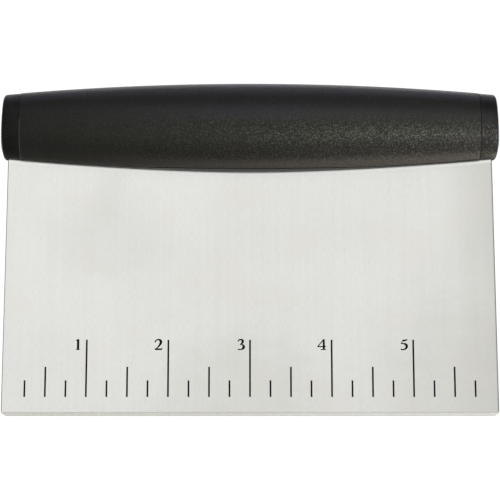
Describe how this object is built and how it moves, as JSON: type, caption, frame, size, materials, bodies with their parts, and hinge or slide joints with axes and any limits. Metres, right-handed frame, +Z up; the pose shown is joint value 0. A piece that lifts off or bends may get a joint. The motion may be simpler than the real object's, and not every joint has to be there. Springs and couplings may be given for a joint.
{
  "type": "dough cutter",
  "caption": "Rectangular steel dough cutter blade held along its top edge in a barrel-shaped soft black handle with a flush cap at each end.",
  "frame": {"origin": "middle of the cutting edge, which is the lowest point of the object", "axes": "+X along the blade to the right as seen from the front, +Y from the front face to the rear face, +Z up from the cutting edge to the handle"},
  "size_m": [0.1586, 0.022, 0.1065],
  "materials": {
    "brushed_steel": "fine vertical brushing",
    "core_plastic": "plain moulded",
    "soft_rubber": "fine matte grain",
    "cap_plastic": "fine satin",
    "pin_steel": "plain drawn"
  },
  "bodies": {
    "root": {"blade": "brushed_steel", "core_front": "core_plastic", "core_rear": "core_plastic", "soft_grip": "soft_rubber", "end_cap_left": "cap_plastic", "end_cap_right": "cap_plastic", "tang_pin_left": "pin_steel", "tang_pin_centre": "pin_steel", "tang_pin_right": "pin_steel"}
  },
  "joints": []
}
